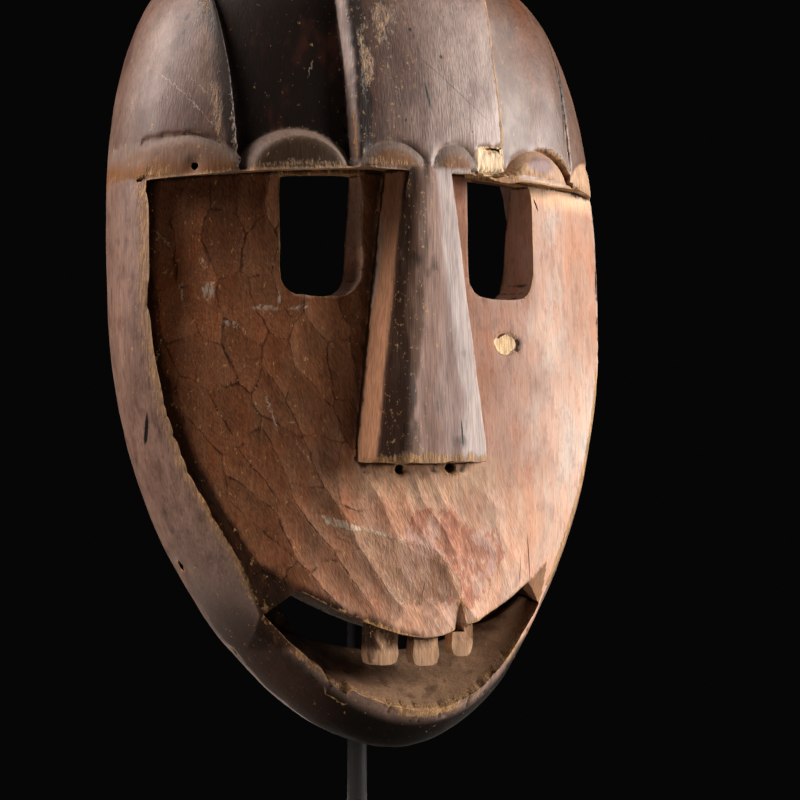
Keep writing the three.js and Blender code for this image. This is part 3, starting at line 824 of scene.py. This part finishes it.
    # Lighter and darker grain, and each adze cut a little lighter or darker as a painted shade of its
    # facet, by how much at most and on which finish
    shade = 1.0
    for pattern, mark, low, high in (
        (grain["streak"], "bare", -0.16, 0.14), (grain["fine"], "bare", -0.26, 0.18),
        (grain["fine"], "worn shown", -0.45, 0.15), (grain["fine"], "raw", -0.4, 0.15),
        (grain["blotch"], "face", -0.12, 0.10), (grain["fine"], "face", -0.05, 0.05),
        (grain["rasp"], "tooled", -0.26, 0.62), (own, "tooled", -0.14, 0.12),
    ):
        band = {"Value": pattern, "From Min": 0.3, "From Max": 0.7, "To Min": low, "To Max": high}
        change = add(tree, "ShaderNodeMapRange", band)
        change = add(tree, "ShaderNodeMath", {0: change, 1: marks[mark], 2: 1.0},
                     operation="MULTIPLY_ADD")
        shade = add(tree, "ShaderNodeMath", {0: shade, 1: change}, operation="MULTIPLY")
    shades = add(tree, "ShaderNodeCombineColor", {0: shade, 1: shade, 2: shade})
    colour = add(tree, "ShaderNodeMix", {0: 1.0, 6: colour, 7: shades}, 2, data_type="RGBA",
                 blend_type="MULTIPLY")

    # Smears and cracks are spindles whose outlines wander with a noise
    for spindles, wander, code in ((smears, 3.0, "#b3a596"), (cracks, 0.4, "#0d0805")):
        drift = add(tree, "ShaderNodeTexNoise", {
            "Vector": spot, "Scale": 1 / (1.6 * mm), "Detail": 3.0,
        }, "Color")
        push = (wander * mm, 0, wander * mm)
        moved = add(tree, "ShaderNodeVectorMath", {0: drift, 1: push, 2: spot},
                    operation="MULTIPLY_ADD")
        found = 0.0
        for across, up, length, width, lean in spindles:
            at = add(tree, "ShaderNodeMapping", {
                "Vector": moved,
                "Location": ((across + wander / 2) * mm, 0, (up + chin_height + wander / 2) * mm),
                "Rotation": (0, math.radians(lean), 0),
                "Scale": (width * mm / 2, 1, length * mm / 2),
            }, vector_type="TEXTURE")
            core = add(tree, "ShaderNodeTexGradient", {"Vector": at}, "Fac", gradient_type="SPHERICAL")
            found = add(tree, "ShaderNodeMath", {0: found, 1: core}, operation="MAXIMUM")
        found = add(tree, "ShaderNodeMapRange", {"Value": found, "From Min": 0.0, "From Max": 0.28})
        if spindles is smears:
            band = {"Value": grain["fibre"], "From Min": 0.42, "From Max": 0.56, "To Max": 0.8}
            broken = add(tree, "ShaderNodeMapRange", band)
            broken = add(tree, "ShaderNodeMath", {0: broken, 1: marks["outer"]}, operation="MULTIPLY")
            found = add(tree, "ShaderNodeMath", {0: found, 1: broken}, operation="MULTIPLY")
        colour = add(tree, "ShaderNodeMix", {0: found, 6: colour, 7: srgb(code)}, 2, data_type="RGBA")

    # The scoop of each cut, a little tilted
    bowl = add(tree, "ShaderNodeMath", {0: away, 1: away}, operation="MULTIPLY")
    tilt = add(tree, "ShaderNodeVectorMath", {0: offset, 1: (0.25, -0.2, 0)}, "Value",
               operation="DOT_PRODUCT")
    bowl = add(tree, "ShaderNodeMath", {0: bowl, 1: 0.8, 2: tilt}, operation="MULTIPLY_ADD")
    height = add(tree, "ShaderNodeMath", {0: bowl, 1: marks["tooled"], 2: height},
                 operation="MULTIPLY_ADD")
    bump = add(tree, "ShaderNodeBump", {"Height": height, "Distance": mm})
    band = {"Value": grain["blotch"], "From Min": 0.3, "From Max": 0.7, "To Min": 0.62, "To Max": 0.74}
    rough = add(tree, "ShaderNodeMapRange", band)
    for mark, change in (("gloss", -0.2), ("worn shown", 0.15), ("cut_edge_shade shown", 0.1)):
        rough = add(tree, "ShaderNodeMath", {0: marks[mark], 1: change, 2: rough},
                    operation="MULTIPLY_ADD")
    shine = add(tree, "ShaderNodeMapRange", {"Value": marks["gloss"], "To Min": 0.08, "To Max": 0.5})
    finish = {"Base Color": colour, "Roughness": rough, "Specular IOR Level": shine, "Normal": bump}
    shader = add(tree, "ShaderNodeBsdfPrincipled", finish)
    add(tree, "ShaderNodeOutputMaterial", {"Surface": shader})
    return material


def black_steel():
    """Mild steel under satin black lacquer: a faint ripple in the shine, fine dust on what lies
    level, and sharp bright lines down the round post"""
    material = bpy.data.materials.new("steel_in_satin_black_lacquer")
    material.use_nodes = True
    tree = material.node_tree
    tree.nodes.clear()
    spot = add(tree, "ShaderNodeTexCoord", out="Object")
    ripple = add(tree, "ShaderNodeTexNoise", {"Vector": spot, "Scale": 1 / (1.4 * mm), "Detail": 2.0})
    cloud = add(tree, "ShaderNodeTexNoise", {"Vector": spot, "Scale": 1 / (30 * mm), "Detail": 4.0})
    grit = add(tree, "ShaderNodeTexNoise", {"Vector": spot, "Scale": 1 / (0.7 * mm), "Detail": 1.0})
    normal = add(tree, "ShaderNodeNewGeometry", out="Normal")
    _, _, upward = add(tree, "ShaderNodeSeparateXYZ", {0: normal}).node.outputs
    level = add(tree, "ShaderNodeMapRange", {"Value": upward, "From Min": 0.7, "From Max": 0.95})
    specks = add(tree, "ShaderNodeMapRange", {"Value": grit, "From Min": 0.62, "From Max": 0.74})
    film = add(tree, "ShaderNodeMapRange", {
        "Value": cloud, "From Min": 0.35, "From Max": 0.7, "To Min": 0.03, "To Max": 0.16,
    })
    dust = add(tree, "ShaderNodeMath", {0: specks, 1: 0.35, 2: film}, operation="MULTIPLY_ADD")
    dust = add(tree, "ShaderNodeMath", {0: dust, 1: level}, operation="MULTIPLY")
    colour = add(tree, "ShaderNodeMix", {0: dust, 6: srgb("#131315"), 7: srgb("#8b857c")}, 2,
                 data_type="RGBA")
    rough = add(tree, "ShaderNodeMapRange", {
        "Value": cloud, "From Min": 0.3, "From Max": 0.7, "To Min": 0.2, "To Max": 0.34,
    })
    rough = add(tree, "ShaderNodeMath", {0: dust, 1: 0.8, 2: rough}, operation="MULTIPLY_ADD")
    bump = add(tree, "ShaderNodeBump", {"Height": ripple, "Distance": 0.02 * mm})
    finish = {"Base Color": colour, "Roughness": rough, "Normal": bump}
    shader = add(tree, "ShaderNodeBsdfPrincipled", finish)
    add(tree, "ShaderNodeOutputMaterial", {"Surface": shader})
    return material


def make_mask():
    mask = close_blank(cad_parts["mask"])
    rub_smooth(mask.data)
    adze = sample_adze(mask)
    carve(mask.data, adze)
    thin_out(mask)
    mark_regions(mask.data)
    mask.data.materials.clear()
    mask.data.materials.append(old_hardwood())
    mask.data.polygons.foreach_set("use_smooth", [True] * len(mask.data.polygons))
    mask.data.set_sharp_from_angle(angle=math.radians(50))
    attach(mask, "root")
    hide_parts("mask")


def make_stand():
    steel = black_steel()
    for name in ("stand_post", "stand_base"):
        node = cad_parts[name]
        node.data.materials.clear()
        node.data.materials.append(steel)


def make_floor():
    """Pale round table top under the stand, a matt laminate with a faint cloudiness"""
    work = bmesh.new()
    bmesh.ops.create_circle(work, cap_ends=True, segments=96, radius=0.34)
    mesh = bpy.data.meshes.new("table_top")
    work.to_mesh(mesh)
    work.free()
    floor = bpy.data.objects.new("table_top", mesh)
    bpy.context.scene.collection.objects.link(floor)
    material = bpy.data.materials.new("pale_matt_laminate")
    material.use_nodes = True
    tree = material.node_tree
    tree.nodes.clear()
    spot = add(tree, "ShaderNodeTexCoord", out="Object")
    cloud = add(tree, "ShaderNodeTexNoise", {"Vector": spot, "Scale": 1 / (60 * mm), "Detail": 4.0})
    colour = add(tree, "ShaderNodeMix", {0: cloud, 6: srgb("#d3cfc9"), 7: srgb("#dddad5")}, 2,
                 data_type="RGBA")
    shader = add(tree, "ShaderNodeBsdfPrincipled", {"Base Color": colour, "Roughness": 0.7})
    add(tree, "ShaderNodeOutputMaterial", {"Surface": shader})
    mesh.materials.append(material)
    floor.location.z = -0.0005


def make_light(name, azimuth, elevation, distance, size, power, code):
    """Soft square light aimed at the middle of the mask"""
    light = bpy.data.lights.new(name, "AREA")
    light.shape = "RECTANGLE"
    light.size, light.size_y = size
    light.energy = power
    light.color = srgb(code)[:3]
    holder = bpy.data.objects.new(name, light)
    bpy.context.scene.collection.objects.link(holder)
    a, e = math.radians(azimuth), math.radians(elevation)
    away = Vector((math.sin(a) * math.cos(e), -math.cos(a) * math.cos(e), math.sin(e)))
    holder.location = Vector((0, -0.02, 0.24)) + away * distance
    holder.rotation_euler = away.to_track_quat("Z", "Y").to_euler()


def light_and_camera():
    scene = bpy.context.scene
    scene.view_settings.view_transform = "Standard"
    world = bpy.data.worlds.new("dim studio")
    scene.world = world
    world.use_nodes = True
    world.node_tree.nodes["Background"].inputs["Color"].default_value = srgb("#060606")
    make_light("key", 62, 13, 1.3, (0.4, 0.6), 32, "#fff8f2")
    make_light("side fill", -108, 40, 1.2, (0.6, 0.9), 24, "#fff0e8")
    make_light("front fill", -15, 45, 1.8, (0.8, 0.8), 1.4, "#fff6ee")
    make_light("back", 165, 45, 1.6, (1, 1), 0.9, "#ffffff")
    camera = bpy.data.cameras.new("camera")
    camera.lens = 113.8
    camera.sensor_width = 36
    camera.shift_x = 0.05375
    holder = bpy.data.objects.new("camera", camera)
    scene.collection.objects.link(holder)
    turn, distance, height = math.radians(-28), 1.03, 0.2172
    holder.location = (distance * math.sin(turn), -distance * math.cos(turn), height)
    holder.rotation_euler = (math.radians(90), 0, turn)
    scene.camera = holder


make_mask()
make_stand()
make_floor()
light_and_camera()
